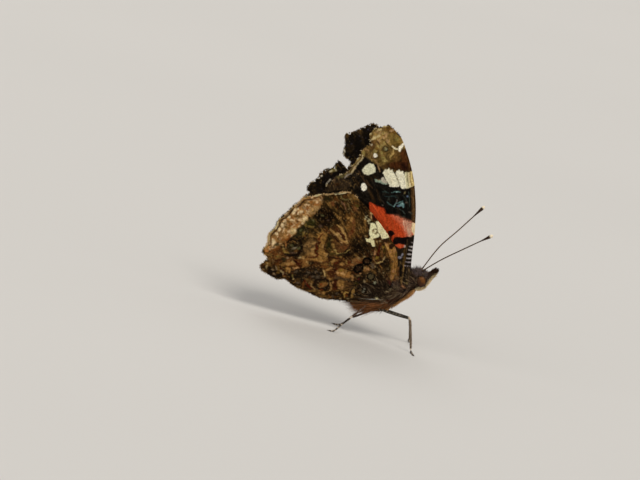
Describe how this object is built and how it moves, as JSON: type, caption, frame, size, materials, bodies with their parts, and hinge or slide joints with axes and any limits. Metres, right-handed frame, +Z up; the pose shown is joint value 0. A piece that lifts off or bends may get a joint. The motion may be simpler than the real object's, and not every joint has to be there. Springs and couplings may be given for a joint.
{
  "type": "red admiral butterfly model",
  "caption": "Still, life-size red admiral butterfly standing on its legs with worn wings closed over its back, feelers raised; for display.",
  "frame": {"origin": "middle of the model's box, on the floor that the feet stand on", "axes": "+X the way the head faces, +Y to the butterfly's left, +Z up"},
  "size_m": [0.0446, 0.0202, 0.0439],
  "materials": {
    "forewing": "scaled wing membrane, black and brown with red, white and blue marks",
    "hindwing": "scaled wing membrane, mottled brown, black and tan",
    "body_fur": "fine brown and tan hair",
    "head_fur": "short dark grey hair",
    "abdomen_scales": "flat brown scales in rings",
    "eye": "smooth brown compound eye",
    "palp": "dark hair above, cream hair below",
    "proboscis": "smooth brown coil",
    "antenna": "dark ringed feeler with a cream tip",
    "leg": "dark scaled leg with pale joints"
  },
  "bodies": {
    "root": {"head": "head_fur", "thorax": "body_fur", "abdomen": "abdomen_scales", "eye_right": "eye", "eye_left": "eye", "palp_right": "palp", "palp_left": "palp", "proboscis": "proboscis", "antenna_right": "antenna", "antenna_left": "antenna", "forewing_right": "forewing", "forewing_left": "forewing", "hindwing_right": "hindwing", "hindwing_left": "hindwing", "foreleg_right": "body_fur", "foreleg_left": "body_fur", "midleg_femur_right": "leg", "midleg_tibia_right": "leg", "midleg_tarsus_right": "leg", "midleg_femur_left": "leg", "midleg_tibia_left": "leg", "midleg_tarsus_left": "leg", "hindleg_femur_right": "leg", "hindleg_tibia_right": "leg", "hindleg_tarsus_right": "leg", "hindleg_femur_left": "leg", "hindleg_tibia_left": "leg", "hindleg_tarsus_left": "leg"}
  },
  "joints": []
}
